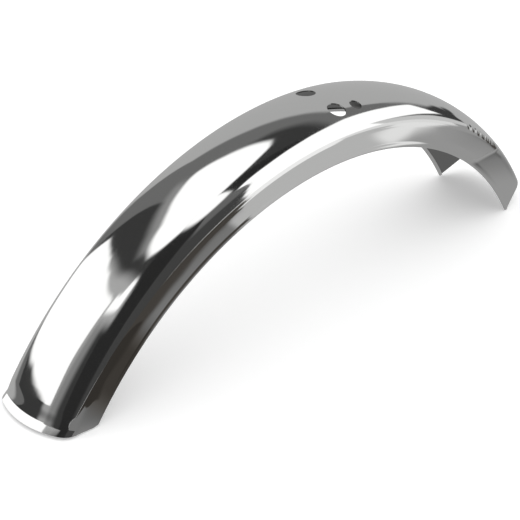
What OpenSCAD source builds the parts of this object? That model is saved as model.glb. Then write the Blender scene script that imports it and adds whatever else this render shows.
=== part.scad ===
// Rear mudguard of a moped: one bright sheet, pressed to a crowned channel and
// rolled to the curve of the wheel. Both rims are hemmed inwards and the rear end
// is flared to a lip. Ahead of a pressed step the side walls lean in, to pass the
// frame, while the rims run on at their full width.
// +X points forward and +Z up. The origin lies on the ground under the middle
// of the guard as it stands on its two ends.

/* [Arc] */
// Radius of the crown line about the wheel axle
crown_radius = 300; // [270:1:340]
// Angle that the rims wrap around the wheel
wrap_angle = 116.4; // [112:0.2:124]

/* [Section] */
// Width across the two rims
guard_width = 72.6; // [66:0.2:84]
// Depth from the crown down to the rims
guard_depth = 34.7; // [30:0.1:42]
// Radius of the flat curve across the crown
crown_bend_radius = 66; // [56:1:90]
// Radius between crown and side wall
shoulder_radius = 12.5; // [8:0.1:14]
// Angle by which each side wall spreads towards its rim
wall_draft = 1.7; // [0:0.1:4]
// Thickness of the sheet
sheet_thickness = 1; // [0.8:0.1:1.4]

/* [Hem] */
// Height of the folded strip inside each rim
hem_height = 2.6; // [2:0.1:6]
// Gap left inside the fold
hem_gap = 0.4; // [0.3:0.1:0.8]
// How far the hem stands out from the wall above it
hem_stand = 0.4; // [0:0.1:0.6]

/* [Rear lip] */
// How far the crown reaches past the rear corners, along the arc
lip_reach = 19; // [12:0.5:24]
// Width of the flared strip at the edge, along the arc
lip_strip = 6.5; // [4:0.5:10]
// Height that the edge of the lip stands out from the crown line
lip_flare = 1.2; // [0.5:0.1:5]
// Depth of the waist between the plain crown and the strip
lip_waist = 0.8; // [0:0.1:2]
// Length over which the crown sinks to the waist, along the arc
lip_run_in = 14; // [8:0.5:20]
// Depth down the side at which the lip has died away
lip_fade_depth = 22; // [16:0.5:30]
// Radius of the two lower rear corners
corner_radius = 5; // [2:0.5:8]

/* [Front end] */
// Angle from the top of the arc to the foot of the pressed step
step_angle = 38.4; // [34:0.1:42]
// How far the step leans forward from rim to crown, along the arc
step_lean = 47; // [24:1:52]
// Length of the step itself, along the arc
step_length = 12; // [6:0.5:16]
// Radius between crown and side wall just behind the step
gathered_radius = 6.5; // [4:0.1:10]
// How far the side walls swell outwards just behind the step
wall_swell = 1.2; // [0:0.1:2]
// Angle by which each side wall leans in above its rim, ahead of the step
front_draft = 14; // [4:0.5:16]
// Radius between crown and side wall ahead of the step
front_shoulder_radius = 13; // [8:0.5:15]

/* [Mounting holes] */
// Diameter of the pair of holes across the crown
hole_diameter = 15; // [10:0.5:17]
// Distance between the pair, across the guard
hole_spacing = 31.4; // [26:0.2:36]
// Angle of the pair forward of the top of the arc
hole_angle = 4.9; // [0:0.1:8]
// Diameter of the small hole
small_hole_diameter = 10; // [5:0.5:11]
// Distance of the small hole ahead of the pair, along the arc
small_hole_ahead = 20.4; // [18:0.2:28]
// Distance of the small hole from the middle line
small_hole_offset = 16.6; // [12:0.2:20]

/* [Quality] */
// Steps across each half of the crown
crown_steps = 5; // [4:1:8]
// Steps around each shoulder
shoulder_steps = 5; // [4:1:8]
// Steps down each side wall
wall_steps = 4; // [3:1:6]
// Steps around each hem
hem_steps = 4; // [3:1:6]
// Steps along the rear lip
rear_steps = 14; // [10:1:18]
// Steps along the plain stretch
plain_steps = 24; // [16:1:30]
// Steps along each third of the front end: up to the step, over it and past it
front_steps = 8; // [6:1:10]

/* [Hidden] */
$fn = 96;

// Degrees of arc for each millimetre along the crown line
arc_degrees = 180 / (PI * crown_radius);
half_wrap = wrap_angle / 2;
rim_radius = crown_radius - guard_depth;
hem_radius = sheet_thickness + hem_gap / 2;

// The plain stretch ends where the lip and the front begin
lip_margin = 8;
plain_rear = lip_margin * arc_degrees - half_wrap;
plain_front = 20;

// The swell of the wall starts at this drop below the crown and rises over so much
// more. It fades over the same depth above the hem.
swell_start = 5;
swell_fade = 5;

// The guard stands on its lip and on its two front tips
ground_z = rim_radius * cos(half_wrap);
rear_x = -(crown_radius + lip_flare) * sin(half_wrap + lip_reach * arc_degrees);
front_x = crown_radius * sin(half_wrap);
middle_x = (rear_x + front_x) / 2;

// Smooth rise from 0 to 1
function ease(t) = let (c = max(0, min(1, t))) c * c * (3 - 2 * c);

// Value between a and b
function mix(a, b, t) = a + (b - a) * t;

// One half of the section, from the middle of the crown round the shoulder,
// down the wall and round the hem. Each entry holds the place across, the drop
// below the crown line, and the two parts of the outward normal.
function half_section(draft, shoulder) =
    let (
        out = [cos(draft), sin(draft)],
        up = [-sin(draft), cos(draft)],
        hem_at = [guard_width / 2 - hem_radius, hem_radius - guard_depth],
        face = out * hem_at + hem_radius - hem_stand,
        run = crown_bend_radius - shoulder,
        side = face - shoulder + crown_bend_radius * sin(draft),
        middle = side * out + sqrt(run * run - side * side) * up,
        turn = atan2(middle[0], middle[1]),
        shoulder_at = middle - [0, crown_bend_radius],
        wall_turn = 90 - draft,
        wall_start = shoulder_at + shoulder * out,
        wall_end = face * out + (up * hem_at + hem_height) * up,
        hem_end = hem_at - hem_radius * out + (hem_height - hem_radius) * up,
        crown = [for (i = [0 : crown_steps - 1]) let (a = turn * i / crown_steps)
            [crown_bend_radius * sin(a), crown_bend_radius * (cos(a) - 1), sin(a), cos(a)]],
        bend = [for (i = [0 : shoulder_steps]) let (a = mix(turn, wall_turn, i / shoulder_steps))
            [shoulder_at[0] + shoulder * sin(a), shoulder_at[1] + shoulder * cos(a), sin(a), cos(a)]],
        wall = [for (i = [1 : wall_steps]) let (p = mix(wall_start, wall_end, i / wall_steps))
            [p[0], p[1], out[0], out[1]]],
        hem = [for (i = [0 : hem_steps]) let (a = wall_turn + 180 * i / hem_steps)
            [hem_at[0] + hem_radius * sin(a), hem_at[1] + hem_radius * cos(a), sin(a), cos(a)]]
    )
    concat(crown, bend, wall, hem, [[hem_end[0], hem_end[1], -out[0], -out[1]]]);

// The whole section, from the near rim's fold to the far rim's fold
function section(draft, shoulder) =
    let (half = half_section(draft, shoulder), last = len(half) - 1)
    concat(
        [for (i = [last : -1 : 1]) [-half[i][0], half[i][1], -half[i][2], half[i][3]]],
        half
    );

// Outer skin forward and inner skin back, as one closed loop of points
// [across, drop, raise], where raise is how far the sheet is pushed outwards
function loop(s, raised) =
    let (n = len(s))
    [for (i = [0 : 2 * n - 1]) let (j = i < n ? i : 2 * n - 1 - i,
            off = raised[j] - (i < n ? 0 : sheet_thickness))
        [s[j][0] + s[j][2] * off, s[j][1] + s[j][3] * off, s[j][1]]];

// How far a rounded rear corner draws the edge forward, at a drop below the crown
function corner_pull(drop) =
    let (u = max(0, min(1, 1 - (guard_depth + drop) / corner_radius)))
    corner_radius * (1 - sqrt(1 - u * u));

// A ring of points in space: the loop at an angle of the arc. The ring leans
// by so many degrees for each millimetre of depth below the crown, and takes
// a share of the rounding of the rear corners.
function ring(s, raised, angle, lean, rounding = 0) =
    [for (p = loop(s, raised)) let (
            a = angle - lean * p[2] + rounding * corner_pull(p[2]) * arc_degrees,
            r = crown_radius + p[1]
        ) [r * sin(a), p[0], r * cos(a)]];

// A solid skin through rings of equal length
module skin(rings) {
    m = len(rings[0]);
    n = m / 2;
    last = len(rings) - 1;
    sides = [for (k = [0 : last - 1], i = [0 : m - 1]) let (j = (i + 1) % m)
        each [[k * m + i, k * m + j, (k + 1) * m + j], [k * m + i, (k + 1) * m + j, (k + 1) * m + i]]];
    start = [for (i = [0 : n - 2]) [i, m - 1 - i, m - 2 - i, i + 1]];
    end = [for (f = start) [for (i = [3 : -1 : 0]) f[i] + last * m]];
    polyhedron(points = [for (r = rings) each r], faces = concat(sides, start, end), convexity = 6);
}

// Height of the lip over the plain crown, at a distance from the edge: the crown
// sinks to a waist, and the strip rises from there to the edge
function lip_height(distance) =
    distance < lip_strip ? mix(lip_flare, -lip_waist, distance / lip_strip)
        : -lip_waist * (1 - ease((distance - lip_strip) / lip_run_in));

// Rear end: the edge sweeps back at the crown, and the lip dies away down the
// side walls, whose corners are rounded
function rear_rings() =
    let (
        s = section(wall_draft, shoulder_radius),
        edge = -(half_wrap + lip_reach * arc_degrees),
        edge_lean = (-half_wrap - edge) / guard_depth
    )
    [for (k = [0 : rear_steps - 1]) let (
            t = k / rear_steps,
            angle = mix(edge, plain_rear, t),
            height = lip_height((angle - edge) / arc_degrees),
            raised = [for (p = s) height * ease(1 + p[1] / lip_fade_depth)]
        ) ring(s, raised, angle, edge_lean * (1 - t), 1 - t)];

// Plain stretch over the wheel, of one section all the way
function plain_rings() =
    let (s = section(wall_draft, shoulder_radius), flat = [for (p = s) 0])
    [for (k = [0 : plain_steps - 1]) ring(s, flat, mix(plain_rear, plain_front, k / plain_steps), 0)];

// Share of the swell that a point of the wall has: none on the shoulder and the hem
function swell_share(drop) =
    ease((-drop - swell_start) / swell_fade) * ease((guard_depth + drop - hem_height) / swell_fade);

// Front end: the shoulders tighten and the walls swell up to a leaning step.
// Past it the walls lean in from the rims, up to a plain square end.
function front_rings() =
    let (
        step_top = step_angle + step_lean * arc_degrees,
        step_end = step_top + step_length * arc_degrees,
        step_slope = (step_angle - step_top) / guard_depth,
        angles = [for (stretch = [[plain_front, step_top], [step_top, step_end], [step_end, half_wrap]])
            for (i = [0 : front_steps - 1]) mix(stretch[0], stretch[1], i / front_steps)]
    )
    [for (angle = concat(angles, [half_wrap])) let (
            gain = ease((angle - plain_front) / (step_top - plain_front)),
            left = 1 - max(0, min(1, (angle - step_top) / (step_end - step_top))),
            into = 1 - left * left,
            draft = mix(wall_draft, front_draft, into),
            shoulder = mix(mix(shoulder_radius, gathered_radius, gain), front_shoulder_radius, into),
            lean = step_slope * min(gain, 1 - ease((angle - step_end) / (half_wrap - step_end))),
            s = section(draft, shoulder),
            raised = [for (p = s) wall_swell * gain * (1 - into) * swell_share(p[1])]
        ) ring(s, raised, angle, lean)];

// Hole through the sheet, square to its face
module sheet_hole(diameter, angle, across) {
    tilt = asin(across / crown_bend_radius);
    rotate([0, angle, 0])
        translate([0, 0, crown_radius - crown_bend_radius])
            rotate([-tilt, 0, 0])
                translate([0, 0, crown_bend_radius - 6])
                    cylinder(d = diameter, h = 12);
}

module mudguard() {
    color("silver")
        translate([-middle_x, 0, -ground_z])
            difference() {
                skin(concat(rear_rings(), plain_rings(), front_rings()));
                for (side = [-1, 1])
                    sheet_hole(hole_diameter, hole_angle, side * hole_spacing / 2);
                sheet_hole(small_hole_diameter, hole_angle + small_hole_ahead * arc_degrees,
                    -small_hole_offset);
            }
}

mudguard();
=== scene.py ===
"""Rear mudguard of a moped, in bright chromed sheet, on a pale studio floor.

The guard is one pressed sheet. Its section is drawn with spins and extrudes, turned
about the wheel axle, pressed at both ends, thickened, and punched with three holes.
"""

import math

import bpy
from mathutils import Matrix, Vector


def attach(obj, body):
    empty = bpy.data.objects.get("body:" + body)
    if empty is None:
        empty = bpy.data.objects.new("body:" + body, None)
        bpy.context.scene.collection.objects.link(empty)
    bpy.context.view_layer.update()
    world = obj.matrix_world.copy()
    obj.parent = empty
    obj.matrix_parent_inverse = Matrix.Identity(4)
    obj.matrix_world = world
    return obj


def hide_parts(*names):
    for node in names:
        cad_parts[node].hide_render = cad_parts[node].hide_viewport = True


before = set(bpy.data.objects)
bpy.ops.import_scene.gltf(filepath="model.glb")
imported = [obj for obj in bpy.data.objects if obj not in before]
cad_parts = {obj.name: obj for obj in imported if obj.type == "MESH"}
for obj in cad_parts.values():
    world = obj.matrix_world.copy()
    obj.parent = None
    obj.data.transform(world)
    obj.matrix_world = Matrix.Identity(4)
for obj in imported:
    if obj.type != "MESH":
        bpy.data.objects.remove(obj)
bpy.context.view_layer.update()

scene = bpy.context.scene
scene.view_settings.view_transform = "Standard"

MM = 0.001

# Driving sizes of the guard in millimetres, as in the part's source
CROWN_RADIUS = 300.0
WRAP_ANGLE = 116.4
GUARD_WIDTH = 72.6
GUARD_DEPTH = 34.7
CROWN_BEND_RADIUS = 66.0
SHOULDER_RADIUS = 12.5
WALL_DRAFT = 1.7
SHEET = 1.0
HEM_HEIGHT = 2.6
HEM_GAP = 0.4
HEM_STAND = 0.4
LIP_REACH = 19.0
LIP_STRIP = 6.5
LIP_FLARE = 1.2
LIP_WAIST = 0.8
LIP_RUN_IN = 14.0
LIP_FADE_DEPTH = 22.0
CORNER_RADIUS = 5.0
LIP_MARGIN = 8.0
STEP_ANGLE = 38.4
STEP_LEAN = 47.0
STEP_LENGTH = 12.0
GATHERED_RADIUS = 6.5
WALL_SWELL = 1.2
SWELL_START = 5.0
SWELL_FADE = 5.0
FRONT_DRAFT = 14.0
FRONT_SHOULDER_RADIUS = 13.0
FRONT_START = 20.0
HOLE_DIAMETER = 15.0
HOLE_SPACING = 31.4
HOLE_ANGLE = 4.9
SMALL_HOLE_DIAMETER = 10.0
SMALL_HOLE_AHEAD = 20.4
SMALL_HOLE_OFFSET = 16.6

# Small gathers that the press leaves on both shoulders at the step: the angles they lie
# between, then their number and their depth, drop and reach in millimetres
RIPPLE_START = 34.0
RIPPLE_END = 43.7
RIPPLE_COUNT = 6
RIPPLE_DEPTH = 0.35
RIPPLE_DROP = 9.8
RIPPLE_REACH = 3.2

# How far the fine skin keeps inside the facets of the CAD solid, in millimetres
CLEARANCE = 0.04

# What follows from these sizes
ARC_DEGREES = 180 / (math.pi * CROWN_RADIUS)
HALF_WRAP = WRAP_ANGLE / 2
HEM_RADIUS = SHEET + HEM_GAP / 2
PLAIN_REAR = LIP_MARGIN * ARC_DEGREES - HALF_WRAP
REAR_EDGE = -(HALF_WRAP + LIP_REACH * ARC_DEGREES)
STEP_TOP = STEP_ANGLE + STEP_LEAN * ARC_DEGREES
STEP_END = STEP_TOP + STEP_LENGTH * ARC_DEGREES
GROUND = (CROWN_RADIUS - GUARD_DEPTH) * math.cos(math.radians(HALF_WRAP))
REAR_X = -(CROWN_RADIUS + LIP_FLARE) * math.sin(math.radians(-REAR_EDGE))
FRONT_X = CROWN_RADIUS * math.sin(math.radians(HALF_WRAP))
AXLE = Vector((-(REAR_X + FRONT_X) / 2, 0, -GROUND))

# Waviness of the rolled sheet in millimetres, from crest to crest and from hollow to crest
WAVE_LENGTH = 45.0
WAVE_HEIGHT = 0.12

# Steps of the fine mesh: across the section, then along each stretch of the arc
CROWN_STEPS = 20
SHOULDER_STEPS = 16
WALL_STEPS = 10
HEM_STEPS = 8
REAR_STEPS = 56
PLAIN_STEPS = 120
FRONT_STEPS = 200
HOLE_STEPS = 72

# Small helps for the modelling, in millimetres and degrees
MERGE_DISTANCE = 0.01
SKIN_TOLERANCE = 0.05
ROUNDING = 1e-6
PUNCH_LENGTH = 12.0
SMOOTH_ANGLE = 32.0

# The camera stands behind the guard on its right, and looks down at it
CAMERA_TARGET = Vector((-0.02745, -0.0040, 0.0434))
CAMERA_AZIMUTH = -138.35
CAMERA_ELEVATION = 32.63
CAMERA_ROLL = 4.56
CAMERA_DISTANCE = 1.9534
CAMERA_LENS = 180.8
CAMERA_SENSOR = 36.0


def direction(azimuth, elevation):
    """Unit vector at an angle from +X about +Z, and at a height above the level."""
    a, e = math.radians(azimuth), math.radians(elevation)
    return Vector((math.cos(e) * math.cos(a), math.cos(e) * math.sin(a), math.sin(e)))


def add_camera():
    data = bpy.data.cameras.new("camera")
    data.lens = CAMERA_LENS
    data.sensor_width = CAMERA_SENSOR
    camera = bpy.data.objects.new("camera", data)
    scene.collection.objects.link(camera)
    back = direction(CAMERA_AZIMUTH, CAMERA_ELEVATION)
    upright = back.to_track_quat("Z", "Y").to_matrix().to_4x4()
    roll = Matrix.Rotation(math.radians(CAMERA_ROLL), 4, "Z")
    place = Matrix.Translation(CAMERA_TARGET + back * CAMERA_DISTANCE)
    camera.matrix_world = place @ upright @ roll
    scene.camera = camera


add_camera()


def linear(hex_colour):
    """Linear RGBA of an sRGB hex colour."""
    channels = [int(hex_colour[i:i + 2], 16) / 255 for i in (1, 3, 5)]
    return [c / 12.92 if c <= 0.04045 else ((c + 0.055) / 1.055) ** 2.4 for c in channels] + [1.0]


def add_node(tree, kind, inputs=None, **settings):
    """Adds a node, sets what it is told, and links or fills its inputs."""
    node = tree.nodes.new(kind)
    for name, value in settings.items():
        setattr(node, name, value)
    for key, value in (inputs or {}).items():
        if isinstance(value, bpy.types.NodeSocket):
            tree.links.new(value, node.inputs[key])
        else:
            node.inputs[key].default_value = value
    return node


def ease(t):
    """Smooth rise from 0 to 1."""
    c = max(0.0, min(1.0, t))
    return c * c * (3 - 2 * c)


def mix(a, b, t):
    return a + (b - a) * t


def polar(angle, radius=1.0):
    """(across, drop) of a point at an angle from straight up."""
    return Vector((math.sin(angle), math.cos(angle))) * radius


HEM = Vector((GUARD_WIDTH / 2 - HEM_RADIUS, HEM_RADIUS - GUARD_DEPTH))


def section_plan(draft, shoulder):
    """One half section, seen along the arc, as angles and (across, drop) points: where the
    crown ends, where the shoulder ends, the shoulder's centre and the wall's two ends."""
    wall_turn = math.radians(90 - draft)
    out = polar(wall_turn)
    up = Vector((-out.y, out.x))
    face = out.dot(HEM) + HEM_RADIUS - HEM_STAND
    run = CROWN_BEND_RADIUS - shoulder
    side = face - shoulder + CROWN_BEND_RADIUS * out.y
    middle = side * out + math.sqrt(run * run - side * side) * up
    bend = middle - Vector((0, CROWN_BEND_RADIUS))
    wall_end = face * out + (up.dot(HEM) + HEM_HEIGHT) * up
    return math.atan2(middle.x, middle.y), wall_turn, bend, bend + shoulder * out, wall_end


PLAIN = section_plan(WALL_DRAFT, SHOULDER_RADIUS)


def restation(at, draft, shoulder):
    """Where a point of the plain section goes when the wall has another draft and the
    shoulder another radius, and the outward normal there."""
    turn, wall_turn, bend, wall_start, wall_end = PLAIN
    new_turn, new_wall_turn, new_bend, new_start, new_end = section_plan(draft, shoulder)
    about_crown = at + Vector((0, CROWN_BEND_RADIUS))
    crown_angle = math.atan2(about_crown.x, about_crown.y)
    wall = wall_end - wall_start
    along_wall = (at - wall_start).dot(wall) / wall.length_squared
    on_skin = about_crown.length > CROWN_BEND_RADIUS - SKIN_TOLERANCE
    if crown_angle <= turn + ROUNDING and on_skin:
        normal = polar(crown_angle * new_turn / turn)
        return normal * CROWN_BEND_RADIUS - Vector((0, CROWN_BEND_RADIUS)), normal
    if along_wall <= ROUNDING:
        bend_angle = math.atan2((at - bend).x, (at - bend).y)
        normal = polar(mix(new_turn, new_wall_turn, (bend_angle - turn) / (wall_turn - turn)))
        return new_bend + normal * shoulder, normal
    if along_wall <= 1 + ROUNDING:
        return new_start.lerp(new_end, along_wall), polar(new_wall_turn)
    about_hem = at - HEM
    hem_angle = math.atan2(about_hem.x, about_hem.y) + new_wall_turn - wall_turn
    return HEM + polar(hem_angle, about_hem.length), polar(new_wall_turn)


def lip_height(distance):
    """Height of the lip over the plain crown, at a distance from the edge."""
    if distance < LIP_STRIP:
        return mix(LIP_FLARE, -LIP_WAIST, distance / LIP_STRIP)
    return -LIP_WAIST * (1 - ease((distance - LIP_STRIP) / LIP_RUN_IN))


def corner_pull(drop):
    """How far a rounded rear corner draws the edge forward, at a drop below the crown."""
    u = max(0.0, min(1.0, 1 - (GUARD_DEPTH + drop) / CORNER_RADIUS))
    return CORNER_RADIUS * (1 - math.sqrt(1 - u * u))


def swell_share(drop):
    """Share of the swell that a point of the wall has."""
    over_hem = GUARD_DEPTH + drop - HEM_HEIGHT
    return ease((-drop - SWELL_START) / SWELL_FADE) * ease(over_hem / SWELL_FADE)


def ripple_depth(angle, drop):
    """How far the gathers sink the sheet, at an angle and a drop below the crown."""
    along = (angle - RIPPLE_START) / (RIPPLE_END - RIPPLE_START)
    if not 0 < along < 1:
        return 0.0
    wave = 0.5 - 0.5 * math.cos(2 * math.pi * RIPPLE_COUNT * along)
    return RIPPLE_DEPTH * wave * ease(1 - abs(drop + RIPPLE_DROP) / RIPPLE_REACH)


def pressed(co):
    """Where the press leaves a point of the plain rolled channel, both in metres."""
    at = (co - AXLE * MM) / MM
    side = -1 if at.y < 0 else 1
    angle = math.degrees(math.atan2(at.x, at.z))
    plain = Vector((abs(at.y), math.hypot(at.x, at.z) - CROWN_RADIUS))
    # gain is the share of the swell before the step, and into that of the pressed-in front
    gain = ease((angle - FRONT_START) / (STEP_TOP - FRONT_START))
    left = 1 - max(0.0, min(1.0, (angle - STEP_TOP) / (STEP_END - STEP_TOP)))
    into = 1 - left * left
    shoulder = mix(mix(SHOULDER_RADIUS, GATHERED_RADIUS, gain), FRONT_SHOULDER_RADIUS, into)
    place, normal = restation(plain, mix(WALL_DRAFT, FRONT_DRAFT, into), shoulder)
    drop = place.y
    step_slope = (STEP_ANGLE - STEP_TOP) / GUARD_DEPTH
    lean = step_slope * min(gain, 1 - ease((angle - STEP_END) / (HALF_WRAP - STEP_END)))
    height = WALL_SWELL * gain * (1 - into) * swell_share(drop)
    height -= ripple_depth(angle - lean * drop, drop)
    pull = 0.0
    if angle < PLAIN_REAR:
        edge_share = (angle - PLAIN_REAR) / (REAR_EDGE - PLAIN_REAR)
        lean = (-HALF_WRAP - REAR_EDGE) / GUARD_DEPTH * edge_share
        pull = corner_pull(drop) * ARC_DEGREES * edge_share
        height = lip_height((angle - REAR_EDGE) / ARC_DEGREES) * ease(1 + drop / LIP_FADE_DEPTH)
    place = place + normal * (height - CLEARANCE)
    turned = math.radians(angle - lean * drop + pull)
    reach = CROWN_RADIUS + place.y
    over_axle = Vector((reach * math.sin(turned), side * place.x, reach * math.cos(turned)))
    return (AXLE + over_axle) * MM


def select_only(piece):
    bpy.ops.object.select_all(action="DESELECT")
    piece.select_set(True)
    bpy.context.view_layer.objects.active = piece


def apply_modifier(piece, kind, **settings):
    modifier = piece.modifiers.new(kind.lower(), kind)
    for name, value in settings.items():
        setattr(modifier, name, value)
    select_only(piece)
    bpy.ops.object.modifier_apply(modifier=modifier.name)


def roll_channel():
    """The plain channel: one half section of the outer skin, turned about the axle and
    mirrored. It starts as one vertex on the crown line."""
    turn, wall_turn, bend, wall_start, wall_end = PLAIN
    crown = AXLE + Vector((0, 0, CROWN_RADIUS))
    bpy.ops.object.select_all(action="DESELECT")
    bpy.ops.mesh.primitive_plane_add(size=MM, location=crown * MM)
    channel = bpy.context.object
    channel.name = "mudguard_sheet"
    bpy.ops.object.transform_apply(location=True)
    bpy.ops.object.mode_set(mode="EDIT")
    bpy.ops.mesh.merge(type="CENTER")

    def spin_section(centre, angle, steps):
        place = (crown + Vector((0, centre.x, centre.y))) * MM
        bpy.ops.mesh.spin(steps=steps, angle=angle, center=place, axis=(1, 0, 0))

    def draw_straight(move, steps):
        step = Vector((0, move.x, move.y)) * MM / steps
        for _ in range(steps):
            bpy.ops.mesh.extrude_region_move(TRANSFORM_OT_translate={"value": step})

    spin_section(Vector((0, -CROWN_BEND_RADIUS)), turn, CROWN_STEPS)
    spin_section(bend, wall_turn - turn, SHOULDER_STEPS)
    draw_straight(wall_end - wall_start, WALL_STEPS)
    draw_straight(HEM + polar(wall_turn, HEM_RADIUS) - wall_end, 1)
    spin_section(HEM, math.pi, HEM_STEPS)
    draw_straight((wall_start - wall_end).normalized() * (HEM_HEIGHT - HEM_RADIUS), 1)
    bpy.ops.object.mode_set(mode="OBJECT")

    about_axle = Matrix.Translation(AXLE * MM)
    back = Matrix.Rotation(math.radians(REAR_EDGE), 4, "Y")
    channel.data.transform(about_axle @ back @ about_axle.inverted())
    bpy.ops.object.mode_set(mode="EDIT")
    bpy.ops.mesh.select_all(action="SELECT")
    stretches = [(REAR_EDGE, PLAIN_REAR, REAR_STEPS), (PLAIN_REAR, FRONT_START, PLAIN_STEPS),
                 (FRONT_START, HALF_WRAP, FRONT_STEPS)]
    for start, end, steps in stretches:
        bpy.ops.mesh.spin(steps=steps, angle=math.radians(start - end), center=AXLE * MM,
                          axis=(0, 1, 0))
    bpy.ops.object.mode_set(mode="OBJECT")
    apply_modifier(channel, "MIRROR", use_axis=(False, True, False),
                   merge_threshold=MERGE_DISTANCE * MM)
    return channel


def face_outwards(piece):
    """Turns the skin's faces away from the axle."""
    bpy.ops.object.mode_set(mode="EDIT")
    bpy.ops.mesh.select_all(action="SELECT")
    bpy.ops.mesh.remove_doubles(threshold=MERGE_DISTANCE * MM)
    bpy.ops.mesh.normals_make_consistent(inside=False)
    bpy.ops.object.mode_set(mode="OBJECT")
    top = max(piece.data.polygons, key=lambda face: face.center.z)
    if top.normal.z < 0:
        bpy.ops.object.mode_set(mode="EDIT")
        bpy.ops.mesh.flip_normals()
        bpy.ops.object.mode_set(mode="OBJECT")


def punch(piece, diameter, angle, across):
    """Punches a round hole, square to the sheet."""
    tilt = math.asin(across / CROWN_BEND_RADIUS)
    turned = Matrix.Rotation(math.radians(angle), 4, "Y")
    centre = AXLE + turned @ Vector((0, 0, CROWN_RADIUS - CROWN_BEND_RADIUS))
    aim = turned @ Matrix.Rotation(-tilt, 4, "X")
    centre = centre + aim @ Vector((0, 0, CROWN_BEND_RADIUS))
    bpy.ops.mesh.primitive_cylinder_add(vertices=HOLE_STEPS, radius=diameter / 2 * MM,
                                        depth=PUNCH_LENGTH * MM)
    tool = bpy.context.object
    tool.matrix_world = Matrix.Translation(centre * MM) @ aim
    apply_modifier(piece, "BOOLEAN", operation="DIFFERENCE", solver="EXACT", object=tool)
    bpy.data.objects.remove(tool)


def mudguard_sheet():
    """The whole guard: rolled, pressed, thickened inwards, and punched with its three holes."""
    sheet = roll_channel()
    for vertex in sheet.data.vertices:
        vertex.co = pressed(vertex.co)
    face_outwards(sheet)
    sheet.data.materials.clear()
    sheet.data.materials.append(bright_sheet())
    sheet.data.materials.append(inner_sheet())
    apply_modifier(sheet, "SOLIDIFY", thickness=SHEET * MM, offset=-1, use_even_offset=True,
                   material_offset=1)
    for side in (-1, 1):
        punch(sheet, HOLE_DIAMETER, HOLE_ANGLE, side * HOLE_SPACING / 2)
    small_hole_angle = HOLE_ANGLE + SMALL_HOLE_AHEAD * ARC_DEGREES
    punch(sheet, SMALL_HOLE_DIAMETER, small_hole_angle, -SMALL_HOLE_OFFSET)
    select_only(sheet)
    bpy.ops.object.shade_smooth_by_angle(angle=math.radians(SMOOTH_ANGLE))
    return sheet


def chromed_steel(name, colour, roughness):
    """Chromed steel sheet, a mirror with the faint waviness that rolling leaves."""
    material = bpy.data.materials.new(name)
    material.use_nodes = True
    tree = material.node_tree
    shader = tree.nodes["Principled BSDF"]
    shader.inputs["Base Color"].default_value = linear(colour)
    shader.inputs["Metallic"].default_value = 1.0
    shader.inputs["Roughness"].default_value = roughness
    place = add_node(tree, "ShaderNodeTexCoord").outputs["Object"]
    wave = add_node(tree, "ShaderNodeTexNoise",
                    {"Vector": place, "Scale": 1 / (WAVE_LENGTH * MM), "Detail": 1.0})
    bump = add_node(tree, "ShaderNodeBump",
                    {"Height": wave.outputs[0], "Distance": WAVE_HEIGHT * MM})
    tree.links.new(bump.outputs[0], shader.inputs["Normal"])
    return material


def bright_sheet():
    """Polished outside: clear reflections with hardly any blur."""
    return chromed_steel("chromed_steel_polished", "#e6e6e5", 0.06)


def inner_sheet():
    """Inside, plated over unpolished steel: a darker and duller mirror."""
    return chromed_steel("chromed_steel_unpolished", "#8f8f8e", 0.2)


def soft_edge(tree, value, edge, blur):
    """0 below an edge and 1 above it, with a blur to each side."""
    past = add_node(tree, "ShaderNodeMath", {0: value, 1: edge}, operation="SUBTRACT")
    rise = add_node(tree, "ShaderNodeMapRange", {0: past.outputs[0], 1: -blur, 2: blur},
                    interpolation_type="SMOOTHSTEP")
    return rise.outputs["Result"]


def outline(tree, across, points):
    """Height of a line through (across, up) points."""
    node = add_node(tree, "ShaderNodeFloatCurve", {"Value": across})
    node.mapping.use_clip = False
    node.mapping.extend = "HORIZONTAL"
    line = node.mapping.curves[0]
    line.points[0].location, line.points[1].location = points[0], points[-1]
    for point in points[1:-1]:
        line.points.new(*point)
    for point in line.points:
        point.handle_type = "VECTOR"
    node.mapping.update()
    return node.outputs[0]


def layered_tones(tree, across, up, tone, patches):
    """Tones of soft-edged patches laid over a base tone. A patch is its tone, its blur and
    the (across, up) points of its lower and its upper line."""
    for patch_tone, blur, lower, upper in patches:
        ends = sorted(point[0] for point in lower + upper)
        edges = [(up, outline(tree, across, sorted(lower))),
                 (outline(tree, across, sorted(upper)), up),
                 (across, ends[0]), (ends[-1], across)]
        mask = 1.0
        for value, edge in edges:
            factors = {0: mask, 1: soft_edge(tree, value, edge, blur)}
            mask = add_node(tree, "ShaderNodeMath", factors, operation="MULTIPLY").outputs[0]
        tone = add_node(tree, "ShaderNodeMix", {0: mask, 2: tone, 3: patch_tone}).outputs[0]
    return tone


def seen_in_metal(tree, plain, mirrored):
    """One shader for the eye and the light, another where polished metal mirrors it."""
    in_metal = add_node(tree, "ShaderNodeLightPath").outputs["Is Glossy Ray"]
    return add_node(tree, "ShaderNodeMixShader", {0: in_metal, 1: plain, 2: mirrored}).outputs[0]


# The studio's paint and its even light
STUDIO_WHITE = "#ffffff"

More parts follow.
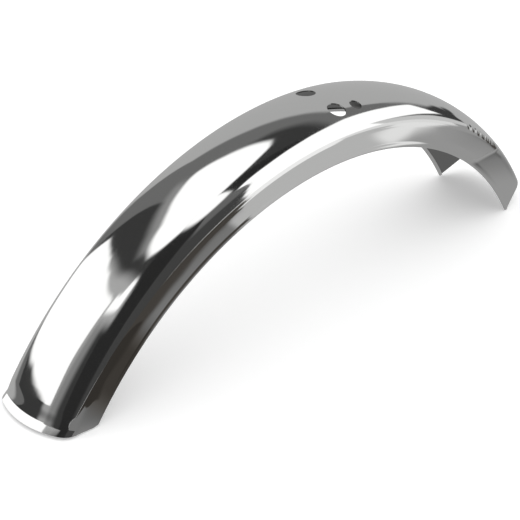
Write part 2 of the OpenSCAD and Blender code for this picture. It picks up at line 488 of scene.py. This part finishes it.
# The room as the polished sheet mirrors it, by azimuth and height in degrees. The azimuth
# runs from 360 below the seam up to the seam. This is no plain studio: tones and outlines are
# fitted to the photo's own reflections. A scratch script sampled the photo's pixels by the
# direction that each one mirrors, and they were read off the tables that it printed. Only
# glossy rays see them, and a tone over 1 is brighter than the white that the camera sees.
# These tones are painted reflections. The windows and the overhead light below are painted
# highlights, and the walls, glows and dark far side are painted tones. No lamp or wall stands
# behind any of them.
ROOM_SEAM = 200.0
PAINTED_HIGHLIGHT = 1.3
PAINTED_REFLECTION_DARK = 0.024
PAINTED_ROOM_REFLECTIONS = [
    # painted dark reflection of a far side, with a soft painted glow over it
    (0.06, 10,
     [(-50, -90), (-125, -90)],
     [(-50, 90), (-100, 90), (-125, 20)]),
    (0.045, 3,
     [(0, -90), (185, -90)],
     [(0, 90), (180, 90), (186, 50), (190, 0)]),
    (0.15, 6,
     [(-56, 40), (-80, 48), (-100, 55), (-108, 80)],
     [(-56, 90), (-108, 90)]),
    # painted reflection of a wall over the front, and of a paler wall under it
    (0.17, 4,
     [(94, 62), (89, 40), (84, -20), (10, -20), (0, 30), (-4, 50)],
     [(96, 60), (86, 60), (62, 58), (46, 54), (38, 51), (22, 48), (8, 47), (-4, 44)]),
    (0.47, 2,
     [(76, -40), (16, -40)],
     [(76, 10), (70, 28), (62, 33), (54, 36), (46, 37.5), (38, 38.3), (22, 38), (17, 28),
      (16, 20)]),
    # painted glow under a painted overhead highlight, and that highlight
    (0.3, 4,
     [(156, 68), (142, 62), (126, 60.5), (118, 59.5), (110, 57), (102, 54), (94, 50), (86, 46),
      (80, 43)],
     [(156, 90), (80, 90)]),
    (PAINTED_HIGHLIGHT, 2,
     [(200, 79), (190, 76), (182, 72.5), (174, 69.5), (166, 67), (134, 66), (118, 66),
      (110, 64), (102, 61.5), (94, 57.5), (86, 53.5), (78, 49), (75, 48.5), (70, 50), (62, 53),
      (54, 55), (38, 57.5), (30, 58.5), (22, 63), (14, 71), (6, 77), (-2, 81.5), (-18, 85.5),
      (-26, 86), (-42, 82), (-50, 79.5), (-160, 79)],
     [(200, 120), (-160, 120)]),
    # painted grey that fades away beside the painted left window
    (0.26, 4,
     [(179.5, 8), (160, 8)],
     [(179.5, 50), (160, 54)]),
    (0.4, 3,
     [(170, 8), (160, 8)],
     [(170, 52), (160, 54)]),
    # painted lit strip above the painted left window, and its painted bright end
    (0.46, 3,
     [(190, 46), (158, 46), (126, 38), (108, 32)],
     [(190, 58), (182, 61), (166, 60), (158, 59), (150, 57), (142, 54), (134, 51), (126, 48),
      (118, 44), (108, 37)]),
    (PAINTED_HIGHLIGHT, 1.5,
     [(186, 52), (184, 50.5), (168, 48)],
     [(186, 60), (184, 61), (178, 61), (174, 55), (168, 54)]),
    # painted highlight of a left window, and the low tip of it
    (PAINTED_HIGHLIGHT, 1,
     [(168.5, 19.5), (165, 18.5), (160, 17.5)],
     [(168.5, 21), (167, 27), (165, 34), (160, 50)]),
    (PAINTED_HIGHLIGHT, 1.2,
     [(165, 18.5), (158, 17.8), (150, 17.2), (142, 15.7), (134, 13.6), (118, 8.6), (110, 4),
      (102, 0.5), (90, -3), (82, -6)],
     [(165, 51.7), (158, 51.5), (150, 50), (142, 48.5), (126, 45.3), (118, 41.3), (110, 38),
      (102, 31.8), (94, 24), (91, 21), (88.5, 14), (86, 7), (82, 0)]),
    # painted pale wall under the painted right window, and the painted dark line between them
    (0.65, 2,
     [(8, -40), (-60, -40)],
     [(8, -1), (-4, 5), (-12, 9), (-38, 14), (-60, 10)]),
    (0.05, 1.2,
     [(19, -10), (8, -1), (0, 5), (-6, 9)],
     [(19, 2), (14, 8), (6, 8), (-2, 11), (-6, 11)]),
    # painted highlight of a right window
    (PAINTED_HIGHLIGHT, 1.5,
     [(15, 14), (12, 9), (6, 7), (-2, 10), (-10, 12), (-18, 13), (-36, 13), (-39, 0),
      (-41, -30), (-58, -30), (-62, 0), (-65.5, 11), (-67.5, 18), (-68.5, 35)],
     [(15, 12), (10, 26), (6, 40.5), (-2, 53.7), (-10, 61.8), (-18, 66.5), (-26, 70.5),
      (-34, 73), (-42, 74.2), (-50, 74), (-58, 72.5), (-60.5, 70), (-63, 60), (-65, 51),
      (-67, 42), (-68.5, 38)]),
]

# The floor as the polished sheet mirrors it, by X and Y in metres, fitted in the same way. These
# are painted reflection tones and painted shade, which only glossy rays see.
PAINTED_FLOOR_BASE = 0.47

# The painted dark reflection tones on the near side are a little warm: the tint, then the tone
# and the Y under which it comes in, each with its blur
WARM_TINT = (1.13, 1.0, 0.87)
WARM_TONE, WARM_TONE_BLUR = 0.1, 0.08
WARM_SIDE, WARM_SIDE_BLUR = -0.05, 0.02

PAINTED_FLOOR_REFLECTIONS = [
    # shade on the guard's near side, and beyond its rear end
    (0.22, 0.02,
     [(-0.6, -9), (0.06, -9)],
     [(-0.6, -0.02), (-0.2, -0.03), (0.06, -0.1)]),
    (0.05, 0.03,
     [(-0.212, -9), (-0.112, -9)],
     [(-0.212, -0.02), (-0.112, -0.02)]),
    (0.36, 0.02,
     [(0.08, -9), (3, -9)],
     [(0.08, 0.01), (3, 0.01)]),
    (0.16, 0.02,
     [(-9, 0.02), (-0.285, 0.09)],
     [(-9, 9), (-0.285, 9)]),
    # shade under the front of the guard, ahead of it, and under its middle
    (0.36, 0.015,
     [(0.12, -0.04), (0.27, -0.03)],
     [(0.12, 0.1), (0.27, 0.1)]),
    (0.24, 0.035,
     [(0.315, -0.16), (0.42, -0.18)],
     [(0.315, -0.02), (0.42, 0)]),
    (0.16, 0.012,
     [(0.352, -0.12), (0.4, -0.14)],
     [(0.352, -0.08), (0.4, -0.05)]),
    (0.07, 0.01,
     [(-0.1, 0.03), (0.24, 0.05)],
     [(-0.1, 0.12), (0.24, 0.12)]),
    # painted pale reflection of the near side floor, and painted bright strips on it
    (0.55, 0.006,
     [(0.05, -0.3), (0.6, -0.6)],
     [(0.05, -0.172), (0.09, -0.165), (0.25, -0.17), (0.33, -0.24), (0.5, -0.38),
      (0.6, -0.4)]),
    (0.85, 0.03,
     [(0.48, -9), (4, -9)],
     [(0.48, -0.3), (1.1, -0.5), (4, -1.6)]),
    (1.05, 0.008,
     [(0.1, -0.3), (0.12, -0.4), (0.4, -1), (1, -2), (4, -8)],
     [(0.1, -0.25), (0.12, -0.25), (0.18, -0.27), (0.24, -0.285), (0.27, -0.285), (0.3, -0.33),
      (0.36, -0.385), (0.45, -0.48), (0.51, -0.55), (1, -1.1), (4, -3)]),
    (0.92, 0.008,
     [(0.25, -0.2), (0.3, -0.215), (0.33, -0.27), (0.36, -0.28), (0.42, -0.33), (0.6, -0.45)],
     [(0.25, -0.18), (0.27, -0.178), (0.3, -0.18), (0.36, -0.215), (0.42, -0.25),
      (0.51, -0.29), (0.6, -0.34)]),
    # painted dark patch in the floor's reflection, behind the guard on the near side
    (0.035, 0.002,
     [(-0.4, -9), (0.1, -9), (0.7, -9)],
     [(-0.4, -0.42), (-0.33, -0.33), (-0.27, -0.2), (-0.235, -0.15), (-0.222, -0.1),
      (-0.212, -0.07), (-0.2, -0.06), (-0.178, -0.078), (-0.152, -0.0915), (-0.127, -0.1055),
      (-0.103, -0.1185), (-0.075, -0.1325), (-0.05, -0.1445), (-0.004, -0.1655), (0.03, -0.18),
      (0.08, -0.198), (0.095, -0.26), (0.12, -0.3), (0.155, -0.35), (0.19, -0.4),
      (0.225, -0.5), (0.285, -0.6), (0.38, -0.8), (0.7, -1.4)]),
    (0.06, 0.002,
     [(-0.105, -9), (0.7, -9)],
     [(-0.105, -0.12), (-0.075, -0.1345), (-0.05, -0.1465), (-0.004, -0.1675), (0.03, -0.182),
      (0.08, -0.2), (0.095, -0.262), (0.12, -0.305), (0.155, -0.355), (0.19, -0.405),
      (0.225, -0.505), (0.285, -0.605), (0.38, -0.805), (0.7, -1.4)]),
    # painted dark line in the floor's reflection in front, and its wider far end
    (0.07, 0.02,
     [(0.38, -0.135), (0.46, -0.15), (0.55, -0.2), (0.73, -0.19), (1.4, -0.2)],
     [(0.38, -0.1), (0.46, -0.09), (0.6, -0.07), (0.83, 0), (1.4, 0.1)]),
    (0.05, 0.05,
     [(1.35, 0.35), (4, 0.7)],
     [(1.35, 0.45), (4, 1.4)]),
]


def light_room_and_paint_reflections():
    """Even white light for eye and floor, and fitted painted reflections for the polished sheet.
    """
    world = bpy.data.worlds.new("studio")
    scene.world = world
    world.use_nodes = True
    tree = world.node_tree
    tree.nodes.clear()
    ray = add_node(tree, "ShaderNodeTexCoord").outputs["Generated"]
    x, y, z = add_node(tree, "ShaderNodeSeparateXYZ", {0: ray}).outputs
    turn = add_node(tree, "ShaderNodeMath", {0: y, 1: x}, operation="ARCTAN2")
    degrees = add_node(tree, "ShaderNodeMath", {0: turn.outputs[0]}, operation="DEGREES")
    azimuth = add_node(tree, "ShaderNodeMath",
                       {0: degrees.outputs[0], 1: ROOM_SEAM, 2: ROOM_SEAM - 360},
                       operation="WRAP")
    rise = add_node(tree, "ShaderNodeMath", {0: z}, operation="ARCSINE")
    height = add_node(tree, "ShaderNodeMath", {0: rise.outputs[0]}, operation="DEGREES")
    tone = layered_tones(tree, azimuth.outputs[0], height.outputs[0], PAINTED_REFLECTION_DARK, PAINTED_ROOM_REFLECTIONS)
    painted_reflections = add_node(tree, "ShaderNodeBackground", {"Color": tone, "Strength": 1.0})
    even = add_node(tree, "ShaderNodeBackground",
                    {"Color": linear(STUDIO_WHITE), "Strength": 1.0})
    surface = seen_in_metal(tree, even.outputs[0], painted_reflections.outputs[0])
    add_node(tree, "ShaderNodeOutputWorld", {"Surface": surface})


# The floor in metres, just under the guard, and what it gives off by itself, so that it stays
# white but for the deeper shadow
FLOOR_SIZE = 8.0
FLOOR_GAP = 0.0005
FLOOR_LIFT = 0.22


def add_floor():
    """White matt floor: one even pale tone to the eye, with the guard's soft shadow on it; the
    polished sheet sees painted reflections and painted shade on it instead.
    """
    bpy.ops.object.select_all(action="DESELECT")
    bpy.ops.mesh.primitive_plane_add(size=FLOOR_SIZE, location=(0, 0, -FLOOR_GAP))
    floor = bpy.context.object
    floor.name = "floor"
    material = bpy.data.materials.new("studio_floor_matt_paint_and_painted_reflections")
    material.use_nodes = True
    tree = material.node_tree
    tree.nodes.clear()
    place = add_node(tree, "ShaderNodeTexCoord").outputs["Object"]
    x, y, _ = add_node(tree, "ShaderNodeSeparateXYZ", {0: place}).outputs
    # the tones that the polished sheet sees here are painted reflections and painted shade
    tone = layered_tones(tree, x, y, PAINTED_FLOOR_BASE, PAINTED_FLOOR_REFLECTIONS)
    warm = add_node(tree, "ShaderNodeVectorMath", {0: tone, 1: WARM_TINT}, operation="MULTIPLY")
    pale_share = soft_edge(tree, tone, WARM_TONE, WARM_TONE_BLUR)
    far_share = soft_edge(tree, y, WARM_SIDE, WARM_SIDE_BLUR)
    plain_share = add_node(tree, "ShaderNodeMath", {0: pale_share, 1: far_share},
                           operation="MAXIMUM")
    colour = add_node(tree, "ShaderNodeMix",
                      {0: plain_share.outputs[0], 6: warm.outputs[0], 7: tone},
                      data_type="RGBA")
    mirrored = add_node(tree, "ShaderNodeEmission", {"Color": colour.outputs[2], "Strength": 1.0})
    white = linear(STUDIO_WHITE)
    paint = add_node(tree, "ShaderNodeBsdfDiffuse", {"Color": white})
    lift = add_node(tree, "ShaderNodeEmission", {"Color": white, "Strength": FLOOR_LIFT})
    pale = add_node(tree, "ShaderNodeAddShader", {0: paint.outputs[0], 1: lift.outputs[0]})
    surface = seen_in_metal(tree, pale.outputs[0], mirrored.outputs[0])
    add_node(tree, "ShaderNodeOutputMaterial", {"Surface": surface})
    floor.data.materials.append(material)


guard = mudguard_sheet()
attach(guard, "root")
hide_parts("mudguard")

light_room_and_paint_reflections()
add_floor()
